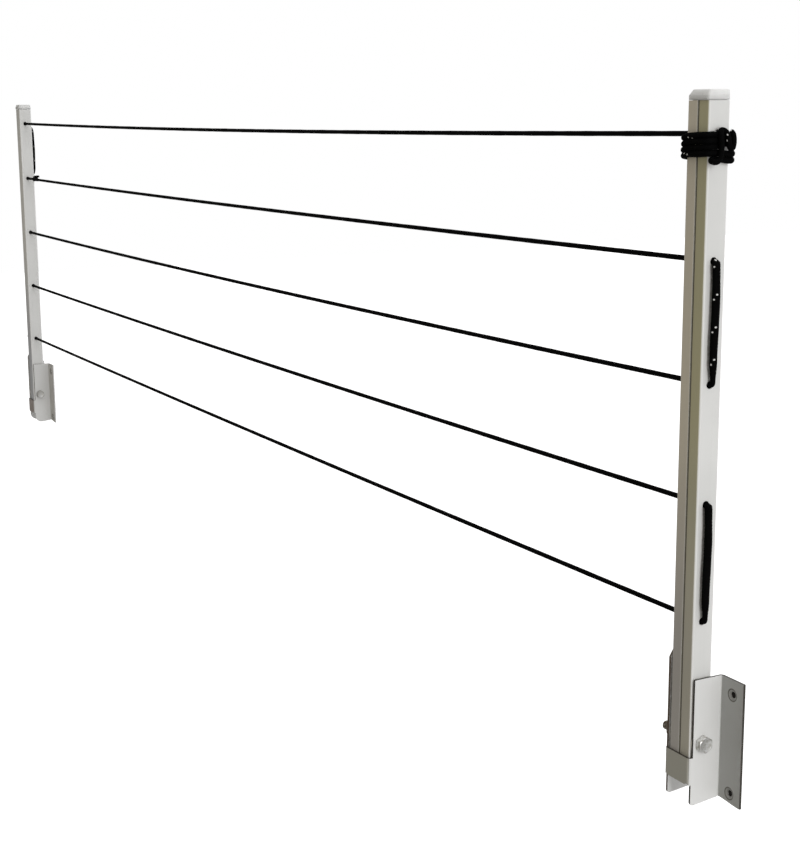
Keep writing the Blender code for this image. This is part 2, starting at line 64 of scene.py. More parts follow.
# ---------------------------------------------------------------- sizes read from the frame
ARM_LOW, ARM_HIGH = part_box("arm_right")
HALF = ARM_HIGH.x                       # middle to an arm's outer face
ARM_W = ARM_HIGH.x - ARM_LOW.x
ARM_MIDDLE = HALF - ARM_W / 2           # middle to the middle of an arm
INNER = ARM_LOW.x                       # middle to an arm's inner face
ARM_FRONT, ARM_REAR = ARM_LOW.y, ARM_HIGH.y
SIDES = {"right": 1, "left": -1}


def line_facts(number):
    """Height at the arms, sag at mid-span and radius of one straight line."""
    low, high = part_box(f"line_{number}")
    radius = (high.y - low.y) / 2
    top = high.z - radius
    return top, top - (low.z + radius), radius


LINE_Z = {n: line_facts(n)[0] for n in range(1, 6)}
LINE_SAG = {n: line_facts(n)[1] for n in range(1, 6)}
CORD_R = line_facts(3)[2]
HOLE_Y = (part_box("line_3")[0].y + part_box("line_3")[1].y) / 2

# ---------------------------------------------------------------- camera
CAM_AT = Vector((2.0026, -0.8515, 0.5262))
CAM_HEADING = 2.6447        # radians, from +X towards +Y
CAM_TILT = -0.1964          # looking a little down
CAM_ROLL = -0.0061
CAM_SENSOR = 36.0
CAM_LENS = 71.95
CAM_REACH = 0.02, 60.0      # nearest and farthest it sees


def placed(name, data):
    """A new object in the scene."""
    obj = bpy.data.objects.new(name, data)
    scene.collection.objects.link(obj)
    return obj


def camera():
    """The photograph's own viewpoint, solved from its edges."""
    ahead = Vector((math.cos(CAM_TILT) * math.cos(CAM_HEADING),
                    math.cos(CAM_TILT) * math.sin(CAM_HEADING), math.sin(CAM_TILT)))
    right = ahead.cross(Vector((0, 0, 1))).normalized()
    up = right.cross(ahead)
    c, s = math.cos(CAM_ROLL), math.sin(CAM_ROLL)
    right, up = c * right + s * up, c * up - s * right
    data = bpy.data.cameras.new("camera")
    data.sensor_fit = "HORIZONTAL"
    data.sensor_width = CAM_SENSOR
    data.lens = CAM_LENS
    data.clip_start, data.clip_end = CAM_REACH
    obj = placed("camera", data)
    turn = Matrix((right, up, -ahead)).transposed().to_4x4()
    obj.matrix_world = Matrix.Translation(CAM_AT) @ turn
    scene.camera = obj


camera()


# ---------------------------------------------------------------- material building
class Finish:
    """A Principled material, built up node by node."""

    def __init__(self, name, colour, rough, metal=0.0):
        self.mat = bpy.data.materials.new(name)
        self.mat.use_nodes = True
        self.mat.diffuse_color = (*colour, 1.0)
        self.tree = self.mat.node_tree
        self.shader = self.tree.nodes["Principled BSDF"]
        self.set("Base Color", (*colour, 1.0))
        self.set("Roughness", rough)
        self.set("Metallic", metal)
        self.where = self.tree.nodes.new("ShaderNodeTexCoord")

    def set(self, socket, value):
        self.shader.inputs[socket].default_value = value

    def put(self, socket, output):
        self.tree.links.new(output, self.shader.inputs[socket])

    def node(self, kind, inputs, **settings):
        new = self.tree.nodes.new("ShaderNode" + kind)
        for key, value in settings.items():
            setattr(new, key, value)
        for key, value in inputs.items():
            if isinstance(value, bpy.types.NodeSocket):
                self.tree.links.new(value, new.inputs[key])
            else:
                new.inputs[key].default_value = value
        return new

    def calc(self, operation, *values):
        return self.node("Math", dict(enumerate(values)), operation=operation).outputs[0]

    def times(self, one, two):
        return self.calc("MULTIPLY", one, two)

    def minus(self, one, two):
        return self.calc("SUBTRACT", one, two)

    def absolute(self, value):
        return self.calc("ABSOLUTE", value)

    def far(self, one, two):
        """Distance, from its two parts."""
        return self.calc("SQRT", self.calc("ADD", self.times(one, one), self.times(two, two)))

    def noise(self, scale, detail, vector=None):
        vector = vector or self.where.outputs["Object"]
        inputs = {"Vector": vector, "Scale": scale, "Detail": detail, "Roughness": 0.5}
        return self.node("TexNoise", inputs).outputs["Fac"]

    def ramp(self, value, low, high, to_low=0.0, to_high=1.0):
        """The value's smooth climb from low to high; low may be the larger."""
        inputs = {"Value": value, "From Min": low, "From Max": high,
                  "To Min": to_low, "To Max": to_high}
        return self.node("MapRange", inputs, interpolation_type="SMOOTHSTEP").outputs[0]

    def mix(self, factor, one, two, blend="MIX"):
        new = self.node("Mix", {}, data_type="RGBA", blend_type=blend)
        for key, value in ((0, factor), (6, one), (7, two)):
            if isinstance(value, bpy.types.NodeSocket):
                self.tree.links.new(value, new.inputs[key])
            elif key == 0:
                new.inputs[key].default_value = value
            else:
                new.inputs[key].default_value = (*value, 1.0)
        return new.outputs[2]

    def xyz(self, output):
        return self.node("SeparateXYZ", {0: self.where.outputs[output]}).outputs

    def rounded(self, radius):
        """Normal with its sharp edges rounded off."""
        return self.node("Bevel", {"Radius": radius}, samples=4).outputs[0]

    def edges(self, soft):
        """1 along sharp edges, where the rounded normal leaves the flat one."""
        flat = self.node("NewGeometry", {}).outputs["Normal"]
        same = self.node("VectorMath", {0: soft, 1: flat}, operation="DOT_PRODUCT")
        return self.ramp(self.minus(1.0, same.outputs["Value"]), 0.01, 0.12)

    def bump(self, height, distance, strength, normal=None):
        inputs = {"Height": height, "Distance": distance, "Strength": strength}
        if normal is not None:
            inputs["Normal"] = normal
        return self.node("Bump", inputs).outputs[0]


def scaled(colour, factor):
    return tuple(min(1.0, c * factor) for c in colour)


# colours that lie over a coat
# dirt and painted shade, laid where corners and gaps hide the light
DIRT_AND_SHADE = (0.20, 0.175, 0.135)
# dirt in an arm's seam; also painted shade round the flanges' screw holes
SEAM_DIRT_AND_HOLE_SHADE = (0.060, 0.052, 0.036)
CUT_EDGE = (0.026, 0.020, 0.013)         # cut edges of the folded sheet, drawn near black
SHADE_BROWN_EDGE = (0.090, 0.056, 0.031)       # painted shade: front edge of each bracket's -X plate, drawn brown
PAINTED_CORNER_HIGHLIGHT = (0.93, 0.93, 0.92)       # painted highlight on the rounded corners of an arm
STEP_SHADE = (0.24, 0.225, 0.18)         # painted shade on the wall of the step at an arm's seam

# tints that a coat is multiplied by: painted shade low on an arm's face
LOW_SHADE = (0.70, 0.73, 0.84)           # painted shade on an arm's face, near the bracket
LOW_SET_BACK = (0.98, 0.99, 1.32)        # the set-back half of the right arm's face there

# where the marks lie, each from where it begins to where it is full
AHEAD = -0.55, -0.95                     # Y of the normal, for a face to the room
SEAM_BLEND = -0.0004, 0.0004             # across the seam, from the front half to the set-back one
STEP_REACH = 0.0040, 0.0030              # off the seam: walls of its step
GROOVE_REACH = 0.00075, 0.00030          # off the seam: its dirty groove
WALL_REACH = 0.0006, 0.00045             # off the seam: the groove's walls
WALL_DEPTH = ARM_FRONT + 0.0030, ARM_FRONT + 0.0024     # Y of those walls
LOW_REACH = 0.30, 0.06                   # height of an arm's darker lower face
FLANGE_FROM = -0.020, -0.010             # Y, from the web's tint to the flange's
PLATE_EDGE = (-0.0340, -0.0335), (-0.0270, -0.0280)     # Y of the plates' cut edges
MINUS_PLATE = 0.002, -0.002              # off the bracket's middle
FLANGE_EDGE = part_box("bracket_right")[1].x      # outer edge of the outermost flange
FLANGE_END = FLANGE_EDGE - 0.00045, FLANGE_EDGE - 0.00015
HOLE_X = FLANGE_EDGE - ARM_MIDDLE - 0.0140      # screw holes, from the arm's middle
HOLE_Z = 0.0440
RING = (0.0041, 0.0049), (0.0062, 0.0054)       # off a screw hole's middle: ring of painted shade
CONE = 0.0052, 0.0048                    # off a screw hole's middle: painted shade in its countersink


def powder_coat(name, colour, rough, front, seam=None, sheet=None):
    """Sprayed and baked coat: fine orange peel, faint clouds, dirt and painted shade in corners,
    chafed edges.

    front is a painted shade tint: faces to the room are drawn darker and yellower by it.
    seam = (x, sign, set_back, low) gives an arm's set-back half its own painted shade tints, and
    dirt in the seam. sheet = (middle, flange) is for a folded sheet: dark cut edges, a painted
    shade tint on the flange and painted shade round the screw holes.
    """
    f = Finish(name, colour, rough)
    at = f.xyz("Object")
    facing = f.xyz("Normal")
    peel = f.noise(620.0, 3.0)
    grain = f.noise(3600.0, 2.0)
    cloud = f.noise(11.0, 4.0)
    stretch = {"Vector": f.where.outputs["Object"], "Scale": (240.0, 240.0, 5.0)}
    streak = f.noise(1.0, 4.0, f.node("Mapping", stretch).outputs[0])
    tone = f.mix(f.ramp(cloud, 0.35, 0.65), scaled(colour, 0.955), scaled(colour, 1.02))
    tone = f.mix(f.ramp(grain, 0.3, 0.7, 0.0, 0.30), tone, scaled(colour, 0.86))
    tone = f.mix(f.ramp(streak, 0.55, 0.8, 0.0, 0.35), tone, scaled(colour, 0.88))
    ahead = f.ramp(facing[1], *AHEAD)
    tint = front
    if seam:
        middle, sign, set_back, low_set_back = seam
        across = f.times(f.minus(at[0], middle), float(sign))
        off_seam = f.absolute(across)
        behind = f.ramp(across, *SEAM_BLEND)
        tint = f.mix(behind, front, set_back)
    if sheet:
        middle, flange = sheet
        tint = f.mix(f.ramp(at[1], *FLANGE_FROM), front, flange)
    # painted shade: faces to the room take the front tint, darker and yellower
    tone = f.mix(f.times(ahead, 0.94), tone, f.mix(1.0, tone, tint, "MULTIPLY"))
    # dirt and painted shade where nearby surfaces hide the light
    hidden = f.node("AmbientOcclusion", {"Distance": 0.004}, samples=6).outputs["AO"]
    grime_and_shade = f.times(f.ramp(hidden, 0.75, 0.15), f.ramp(f.noise(300.0, 4.0), 0.25, 0.6))
    tone = f.mix(f.times(grime_and_shade, 0.55), tone, DIRT_AND_SHADE)
    if seam:
        # painted shade: an arm's face to the room drawn darker and greyer towards the bracket
        low = f.times(ahead, f.ramp(at[2], *LOW_REACH))
        shade = f.mix(behind, LOW_SHADE, low_set_back)
        tone = f.mix(low, tone, f.mix(1.0, tone, shade, "MULTIPLY"))
        # painted highlight where an arm's face turns round its corner
        corner = f.absolute(f.times(f.times(facing[0], facing[1]), 2.0))
        tone = f.mix(f.ramp(corner, 0.30, 0.75, 0.0, 0.85), tone, PAINTED_CORNER_HIGHLIGHT)
        # painted shade on the side walls of the step at the seam
        step = f.times(f.ramp(f.absolute(facing[0]), 0.3, 0.7), f.ramp(off_seam, *STEP_REACH))
        tone = f.mix(f.times(step, 0.95), tone, STEP_SHADE)
        groove = f.times(f.ramp(off_seam, *GROOVE_REACH), ahead)
        tone = f.mix(f.times(groove, 0.32), tone, SEAM_DIRT_AND_HOLE_SHADE)
        walls = f.times(f.ramp(off_seam, *WALL_REACH), f.ramp(at[1], *WALL_DEPTH))
        tone = f.mix(f.times(walls, 0.42), tone, SEAM_DIRT_AND_HOLE_SHADE)
    if sheet:
        # the sheet's cut edges, top, bottom and front, drawn near black, stronger in patches
        level = f.ramp(f.absolute(facing[2]), 0.5, 0.9)
        depth = f.times(f.ramp(at[1], *PLATE_EDGE[0]), f.ramp(at[1], *PLATE_EDGE[1]))
        plates = f.times(ahead, depth)
        ends = f.ramp(f.absolute(at[0]), *FLANGE_END)
        dark_edges = f.calc("MAXIMUM", f.calc("MAXIMUM", level, plates), ends)
        # painted shade: the -X plate's front edge drawn brown
        shaded_edge = f.times(plates, f.ramp(f.minus(at[0], middle), *MINUS_PLATE))
        patchy = f.ramp(f.noise(210.0, 4.0), 0.2, 0.5, 0.94, 0.99)
        tone = f.mix(f.times(dark_edges, patchy), tone, f.mix(shaded_edge, CUT_EDGE, SHADE_BROWN_EDGE))
        # painted shade round each screw hole and in its countersink
        side = f.minus(f.absolute(f.minus(f.absolute(at[0]), ARM_MIDDLE)), HOLE_X)
        far = f.far(side, f.minus(f.absolute(at[2]), HOLE_Z))
        ring = f.times(f.ramp(far, *RING[0]), f.ramp(far, *RING[1]))
        cone = f.ramp(far, *CONE, 0.0, 0.35)
        tone = f.mix(f.calc("MAXIMUM", f.times(ring, 0.80), cone), tone, SEAM_DIRT_AND_HOLE_SHADE)
    soft = f.rounded(0.0005)
    chafed = f.times(f.edges(soft), f.ramp(f.noise(170.0, 5.0), 0.50, 0.68))
    if sheet:
        chafed = f.times(chafed, f.minus(1.0, dark_edges))
    tone = f.mix(f.times(chafed, 0.55), tone, scaled(colour, 1.22))
    f.put("Base Color", tone)
    f.put("Roughness", f.ramp(f.noise(90.0, 3.0), 0.3, 0.7, rough - 0.05, rough + 0.07))
    normal = f.bump(peel, 0.00012, 0.35, soft)
    f.put("Normal", f.bump(grain, 0.00003, 0.4, normal))
    f.set("Specular IOR Level", 0.42)
    return f.mat


def moulded_plastic(name, colour, rough):
    """Moulded cap: spark-eroded grain, a slight sheen and scuffs on its edges."""
    f = Finish(name, colour, rough)
    grain = f.noise(2400.0, 3.0)
    cloud = f.noise(26.0, 3.0)
    tone = f.mix(f.ramp(cloud, 0.3, 0.7), scaled(colour, 0.94), scaled(colour, 1.03))
    tone = f.mix(f.ramp(f.noise(420.0, 5.0), 0.60, 0.74, 0.0, 0.4), tone, scaled(colour, 0.78))
    soft = f.rounded(0.0006)
    scuff = f.times(f.edges(soft), f.ramp(f.noise(260.0, 4.0), 0.45, 0.62))
    tone = f.mix(f.times(scuff, 0.5), tone, scaled(colour, 1.25))
    f.put("Base Color", tone)
    f.put("Roughness", f.ramp(grain, 0.3, 0.7, rough - 0.06, rough + 0.08))
    f.put("Normal", f.bump(grain, 0.00005, 0.5, soft))
    f.set("Subsurface Weight", 0.85)
    f.set("Subsurface Radius", (0.016, 0.016, 0.016))
    f.set("Subsurface Scale", 1.0)
    return f.mat


ZINC_PATCH = (0.50, 0.49, 0.45)
ZINC_SPECK = (0.33, 0.29, 0.22)


def zinc_plate(name, colour, rough):
    """Zinc plating: a fine grain, duller patches and brownish specks."""
    f = Finish(name, colour, rough, 1.0)
    patch = f.noise(330.0, 4.0)
    fine = f.noise(2800.0, 3.0)
    tone = f.mix(f.ramp(patch, 0.35, 0.7), colour, ZINC_PATCH)
    tone = f.mix(f.ramp(f.noise(900.0, 5.0), 0.62, 0.78, 0.0, 0.6), tone, ZINC_SPECK)
    f.put("Base Color", tone)
    f.put("Roughness", f.ramp(patch, 0.3, 0.75, rough - 0.05, rough + 0.18))
    f.put("Normal", f.bump(fine, 0.00003, 0.5, f.rounded(0.0003)))
    return f.mat


def nylon(name, colour):
    """Natural nylon, a little translucent."""
    f = Finish(name, colour, 0.45)
    tone = f.mix(f.ramp(f.noise(180.0, 4.0), 0.3, 0.7), scaled(colour, 0.9), scaled(colour, 1.05))
    f.put("Base Color", tone)
    f.put("Roughness", f.ramp(f.noise(1500.0, 3.0), 0.3, 0.7, 0.38, 0.55))
    f.put("Normal", f.bump(f.noise(1500.0, 3.0), 0.00003, 0.4, f.rounded(0.0002)))
    f.set("Subsurface Weight", 0.15)
    f.set("Subsurface Radius", (0.0012, 0.0010, 0.0008))
    return f.mat


def loose_yarn(name, colour):
    """The cord's yarn where it is no longer braided."""
    f = Finish(name, colour, 0.8)
    shade = f.ramp(f.noise(900.0, 3.0), 0.3, 0.7)
    f.put("Base Color", f.mix(shade, scaled(colour, 0.5), scaled(colour, 2.0)))
    f.put("Roughness", f.ramp(f.noise(2500.0, 2.0), 0.3, 0.7, 0.7, 0.9))
    return f.mat


# ---------------------------------------------------------------- braided cord
CARRIERS = 8            # strands each way round
LAY = 0.0215            # length of one full turn of a strand
FLECK_STEP = 0.0262     # length between the pairs of white tracer flecks
FLECKS = (-0.065, -0.0020), (0.065, 0.0020)     # turns round the cord and metres along it
FLECK_EDGE = 0.00075, 0.00050
CORD_FADED = (0.006, 0.0055, 0.005)


def cord_finish(name, colour, yarn_colour):
    """Diamond braid worked out from the cord's own map: turns round it, and metres along it."""
    f = Finish(name, colour, 0.72)
    split = f.node("SeparateXYZ", {0: f.node("UVMap", {}, uv_map="braid").outputs[0]}).outputs
    around, along = split[0], split[1]
    lift = f.times(along, CARRIERS / LAY)
    turns = f.times(around, float(CARRIERS))
    one, two = f.calc("ADD", turns, lift), f.minus(turns, lift)

    def crown(phase):
        off = f.minus(f.times(f.calc("FRACT", phase), 2.0), 1.0)
        return f.minus(1.0, f.times(off, off))

    cells = f.calc("ADD", f.calc("FLOOR", one), f.calc("FLOOR", two))
    over = f.calc("GREATER_THAN", f.calc("FRACT", f.times(cells, 0.5)), 0.25)
    high = f.calc("MAXIMUM", f.times(crown(one), over), f.times(crown(two), f.minus(1.0, over)))
    fibre = f.calc("SINE", f.times(f.minus(two, one), 14.0))
    fuzz = f.noise(2600.0, 3.0)
    near = f.node("Attribute", {}, attribute_name="near").outputs["Fac"]
    height = f.calc("ADD", high, f.times(f.calc("ADD", fibre, fuzz), 0.10))
    height = f.times(height, near)

    past = f.calc("ADD", along, FLECK_STEP / 2)
    row = f.calc("ROUND", f.calc("DIVIDE", past, FLECK_STEP))
    d_along = f.minus(past, f.times(row, FLECK_STEP))
    d_around = f.minus(around, f.calc("ROUND", around))
    girth = 2 * math.pi * CORD_R
    dots = []
    for turn, length in FLECKS:
        far = f.far(f.times(f.minus(d_around, turn), girth),
                    f.times(f.minus(d_along, length), 0.85))
        dots.append(f.ramp(far, *FLECK_EDGE))
    fleck = f.times(f.calc("MAXIMUM", *dots), near)

    # painted shade in the braid's hollows and painted highlight on its crowns
    tone = f.mix(f.ramp(high, 0.1, 0.9), scaled(colour, 0.35), scaled(colour, 1.25))
    tone = f.mix(f.ramp(f.noise(60.0, 3.0), 0.45, 0.75, 0.0, 0.25), tone, CORD_FADED)
    tone = f.mix(fleck, tone, yarn_colour)
    f.put("Base Color", tone)
    f.put("Roughness", f.ramp(fuzz, 0.3, 0.7, 0.66, 0.82))
    f.put("Normal", f.bump(height, 0.00022, 0.8))
    f.set("Specular IOR Level", 0.02)
    return f.mat


# ---------------------------------------------------------------- finishes
ARM_COLOUR = (0.74, 0.74, 0.725)
# the front and set-back tints are painted shade: each arm's faces to the room drawn darker and
# yellower, the right arm's set-back half olive
ARM_COAT = {
    "right": powder_coat("arm_coat_right", ARM_COLOUR, 0.34, (1.0, 0.905, 0.740),
                         seam=(ARM_MIDDLE, 1, (0.74, 0.69, 0.42), LOW_SET_BACK)),
    "left": powder_coat("arm_coat_left", ARM_COLOUR, 0.34, (1.0, 0.985, 0.940),
                        seam=(-ARM_MIDDLE, -1, (0.97, 0.955, 0.90), LOW_SHADE))}
# painted shade: the left bracket is a darker copy of the right, and the front and flange tints
# darken the faces to the room, the left's to brown
BRACKET_COAT = {
    side: powder_coat(f"bracket_coat_{side}", colour, 0.42, front,
                      sheet=(SIDES[side] * ARM_MIDDLE, flange))
    for side, colour, front, flange in (
        ("right", (0.79, 0.79, 0.78), (0.57, 0.555, 0.485), (0.545, 0.55, 0.54)),
        ("left", (0.70, 0.70, 0.69), (0.46, 0.38, 0.345), (0.92, 0.90, 0.86)))}
CAP_PLASTIC = moulded_plastic("cap_plastic", (0.80, 0.80, 0.79), 0.42)
ZINC = zinc_plate("zinc_steel", (0.80, 0.80, 0.79), 0.40)
# painted shade: a darker copy of the zinc for the left bolt's head
SHADED_ZINC = zinc_plate("shaded_zinc", (0.46, 0.46, 0.45), 0.50)
BOLT_HEAD = {"right": ZINC, "left": SHADED_ZINC}
# oil and painted shade: nuts, their washers and the bolts' shanks drawn dark brown
OILED_AND_SHADED_THREAD = zinc_plate("oiled_and_shaded_thread", (0.17, 0.13, 0.09), 0.45)
NYLON = nylon("nylon", (0.80, 0.78, 0.70))
CORD = cord_finish("braided_cord", (0.0020, 0.0020, 0.0021), (0.66, 0.66, 0.64))
YARN = loose_yarn("loose_yarn", (0.03, 0.03, 0.03))


def dress(node, mat):
    """A CAD node that stays gets its finish in its own material slots."""
    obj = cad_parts[node]
    obj.data.materials.clear()
    obj.data.materials.append(mat)


for side in SIDES:
    dress(f"arm_{side}", ARM_COAT[side])
    dress(f"bracket_{side}", BRACKET_COAT[side])
    dress(f"arm_cap_{side}", CAP_PLASTIC)
    dress(f"nut_washer_{side}", OILED_AND_SHADED_THREAD)
    dress(f"pivot_sleeve_{side}", ZINC)
    dress(f"nylon_washer_plus_{side}", NYLON)
    dress(f"nylon_washer_minus_{side}", NYLON)


# ---------------------------------------------------------------- making pieces
SHARP = math.radians(28)        # folds above this stay crisp in turned metal


def piece(name, mesh, mat, body, replaced=()):
    """A visible piece: it rides a body, has a material slot and may stand for CAD nodes."""
    mesh.materials.append(mat)
    obj = placed(name, mesh)
    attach(obj, body)
    if replaced:
        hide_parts(*replaced)
    return obj


def grid_mesh(name, rings, closed_ends=True):
    """A tube of rings, each a list of points; the ends close on their own centres."""
    rings = np.asarray(rings, float)
    count, sides = rings.shape[:2]
    points = rings.reshape(-1, 3).tolist()
    faces = []
    for i in range(count - 1):
        for k in range(sides):
            n = (k + 1) % sides
            faces.append((i * sides + k, i * sides + n, (i + 1) * sides + n, (i + 1) * sides + k))
    if closed_ends:
        for ring in (0, count - 1):
            hub = len(points)
            points.append(rings[ring].mean(0).tolist())
            for k in range(sides):
                a, b = ring * sides + k, ring * sides + (k + 1) % sides
                faces.append((hub, b, a) if ring == 0 else (hub, a, b))
    mesh = bpy.data.meshes.new(name)
    mesh.from_pydata(points, [], faces)
    return mesh


def outward(mesh):
    """Faces turned to point out of each closed shell."""
    bm = bmesh.new()
    bm.from_mesh(mesh)
    bmesh.ops.recalc_face_normals(bm, faces=bm.faces)
    bm.to_mesh(mesh)
    bm.free()
    return mesh


def smoothed(mesh):
    mesh.shade_smooth()
    mesh.set_sharp_from_angle(angle=SHARP)
    return mesh


def mesh_from(bm, name):
    mesh = bpy.data.meshes.new(name)
    bm.to_mesh(mesh)
    bm.free()
    return mesh


# ---------------------------------------------------------------- cord pieces
def catmull(points, per_span):
    """A smooth curve through the given points."""
    pts = [Vector(p) for p in points]
    pts = [2 * pts[0] - pts[1]] + pts + [2 * pts[-1] - pts[-2]]
    out = []
    for i in range(1, len(pts) - 2):
        a, b, c, d = pts[i - 1:i + 3]
        for k in range(per_span):
            t = k / per_span
            out.append(0.5 * (2 * b + (c - a) * t + (2 * a - 5 * b + 4 * c - d) * t * t
                              + (3 * b - a - 3 * c + d) * t ** 3))
    out.append(pts[-2])
    return out


def resampled(route, steps):
    """The route at even steps, finer where steps says so, and the length run at each point."""
    route = np.array([tuple(p) for p in route])
    gaps = np.linalg.norm(np.diff(route, axis=0), axis=1)
    keep = np.append(True, gaps > 1e-7)
    route = route[keep]
    run = np.append(0.0, np.cumsum(np.linalg.norm(np.diff(route, axis=0), axis=1)))
    at, marks = 0.0, [0.0]
    while at < run[-1]:
        here = np.array([np.interp(at, run, route[:, a]) for a in range(3)])
        at += steps(here)
        marks.append(min(at, run[-1]))
    if marks[-1] - marks[-2] < 1e-5:
        marks.pop()
    marks = np.array(marks)
    return np.stack([np.interp(marks, run, route[:, a]) for a in range(3)], 1), marks


def plait(around, along):
    """Height of the braid's relief, 0 to 1, as the finish draws it."""
    one = around * CARRIERS + along * CARRIERS / LAY
    two = around * CARRIERS - along * CARRIERS / LAY
    over = np.mod(np.floor(one) + np.floor(two), 2) > 0.5
    phase = np.where(over, one, two)
    return 1 - (2 * (phase - np.floor(phase)) - 1) ** 2


SPAN_STEP = 0.0060      # ring spacing on the straight stretches
SPAN_SHORT = 0.006      # those end this far before an arm
BEND_STEP = 0.00055     # ring spacing where the cord bends and its plait stands out
CORD_SIDES = 20
RELIEF = 0.00020        # height of the plait
RELIEF_MEAN = 0.65      # the part of it at the cord's own radius
TIP_SIZE = 0.72         # a cut end is rounded off to this part of its size
TIP_OUT = 0.00035
TIP_RUN = 0.0006        # length that the map goes on over the tip


def on_span(point):
    return abs(point[0]) < INNER - SPAN_SHORT


def braided(name, route, body="right_arm", replaced=(), radius=CORD_R, spread=None,
            start_turn=0.0, twist=0.0):
    """A cord along its route as a closed mesh, with the plait as real relief near the arms.

    Gives the piece and its centreline. spread may reshape the rings; start_turn and twist say
    how the plait is turned round the cord, at its start and for each metre.
    """
    sides = CORD_SIDES
    line, run = resampled(route, lambda p: SPAN_STEP if on_span(p) else BEND_STEP)
    ahead = np.gradient(line, axis=0)
    ahead /= np.linalg.norm(ahead, axis=1)[:, None]
    side = np.zeros_like(line)
    first = np.array((0.0, 0.0, 1.0)) if abs(ahead[0][2]) < 0.9 else np.array((0.0, 1.0, 0.0))
    side[0] = first - ahead[0] * first.dot(ahead[0])
    side[0] /= np.linalg.norm(side[0])
    for i in range(1, len(line)):
        turn = side[i - 1] - ahead[i] * side[i - 1].dot(ahead[i])
        side[i] = turn / np.linalg.norm(turn)
    other = np.cross(ahead, side)
    around = np.arange(sides) / sides
    angle = 2 * math.pi * around
    near = np.array([0.0 if on_span(p) else 1.0 for p in line])
    wobble = 0.00005 * np.sin(run * 83.0 + 1.3) + 0.00004 * np.sin(run * 211.0)
    turned = start_turn + twist * run
    relief = plait(around[None, :] + turned[:, None], run[:, None]) - RELIEF_MEAN
    size = radius + wobble[:, None] + relief * RELIEF * near[:, None]
    offset = (size * np.cos(angle))[:, :, None] * side[:, None, :]
    offset += (size * np.sin(angle))[:, :, None] * other[:, None, :]
    if spread is not None:
        offset = spread(line, offset)
    rings = line[:, None, :] + offset
    tips = []
    for end, sign in ((0, -1), (-1, 1)):
        hub = line[end]
        tips.append(hub + (rings[end] - hub) * TIP_SIZE + sign * ahead[end] * TIP_OUT)
    rings = np.concatenate([tips[0][None], rings, tips[1][None]])
    run = np.concatenate([[run[0] - TIP_RUN], run, [run[-1] + TIP_RUN]])
    turned = np.concatenate([turned[:1], turned, turned[-1:]])
    mesh = grid_mesh(name, rings)

    # the map; a face that closes a ring runs up to 1 and not back to 0
    layer = mesh.uv_layers.new(name="braid")
    corners = np.zeros(len(mesh.loops), int)
    mesh.loops.foreach_get("vertex_index", corners)
    count = len(rings) * sides
    u = np.where(corners < count, (corners % sides) / sides, 0.5)
    ring = np.minimum(corners // sides, len(run) - 1)
    v = run[ring]
    quads = (len(rings) - 1) * sides
    last = np.arange(quads) % sides == sides - 1
    uq = u[:quads * 4].reshape(quads, 4)
    uq[last] = np.where(uq[last] < 0.25, 1.0, uq[last])
    u[:quads * 4] = uq.reshape(-1)
    layer.data.foreach_set("uv", np.stack([u + turned[ring], v], 1).reshape(-1))
    shown = mesh.attributes.new("near", "FLOAT", "POINT")
    value = np.repeat(np.concatenate([near[:1], near, near[-1:]]), sides)
    shown.data.foreach_set("value", np.append(value, [near[0], near[-1]]))
    mesh.shade_smooth()
    return piece(name, mesh, CORD, body, replaced), line


FLAT_FROM = 0.0008, 0.0022      # off the arm's face: where flattening starts, and over how much
TAPER = 0.0030, 0.0160          # above the lower hole: the same
SNUG_FROM = 0.0055, 0.0015      # inside an arm's inner face: the same for the winding
SNUG = 0.09
THICKER = 0.25                  # it thickens by this part of what it widens by


def widened(amount):
    """The cord flattens where it lies on an arm's outer face, but not at its lower hole."""
    def spread(line, offset):
        out = np.abs(line[:, 0]) - HALF
        above = line[:, 2] - line[out > 0, 2].min()
        w = np.clip((out - FLAT_FROM[0]) / FLAT_FROM[1], 0, 1)
        w = w * np.clip((above - TAPER[0]) / TAPER[1], 0, 1)
        w = w * w * (3 - 2 * w)
        offset[:, :, 0] *= 1 + THICKER * amount * w[:, None]
        offset[:, :, 1] *= 1 + amount * w[:, None]
        return offset
    return spread


def snug(line, offset):
    """The turns of the winding are squeezed until they touch."""
    w = np.clip((np.abs(line[:, 0]) - INNER + SNUG_FROM[0]) / SNUG_FROM[1], 0, 1)
    offset[:, :, 2] *= 1 + SNUG * w[:, None]
    return offset


LINE_STEPS = 40
BEND = 0.0027           # radius at which a loop turns out of its hole
BEND_STEPS = 10
START = 0.0009          # straight bit before that
RUN_STEPS = 40          # along the loop's straight run
WEAVE = 0.0004          # how far it strays to either side


def line_points(number):
    """One straight line from the left arm's outer face to the right arm's."""
    z, sag = LINE_Z[number], LINE_SAG[number]
    points = [Vector((-HALF, HOLE_Y, z))]
    for k in range(LINE_STEPS + 1):
        t = 2 * k / LINE_STEPS - 1
        points.append(Vector((t * INNER, HOLE_Y, z - sag * (1 - t * t))))
    points.append(Vector((HALF, HOLE_Y, z)))
    return points


def loop_points(sign, upper, lower, bow):
    """A loop on an arm's outer face, from one hole down to the next."""
    bend = []
    for k in range(BEND_STEPS + 1):
        a = math.pi / 2 * k / BEND_STEPS
        bend.append((HALF + START + BEND * math.sin(a), BEND * (1 - math.cos(a))))
    points = [(x, 0.0, upper - drop) for x, drop in bend]
    for k in range(1, RUN_STEPS):
        t = k / RUN_STEPS
        z = upper - BEND - t * (upper - lower - 2 * BEND)
        points.append((HALF + START + BEND + bow * math.sin(math.pi * t),
                       WEAVE * math.sin(math.tau * t), z))
    points += [(x, 0.0, lower + rise) for x, rise in reversed(bend)]
    return [Vector((sign * x, HOLE_Y + y, z)) for x, y, z in points]


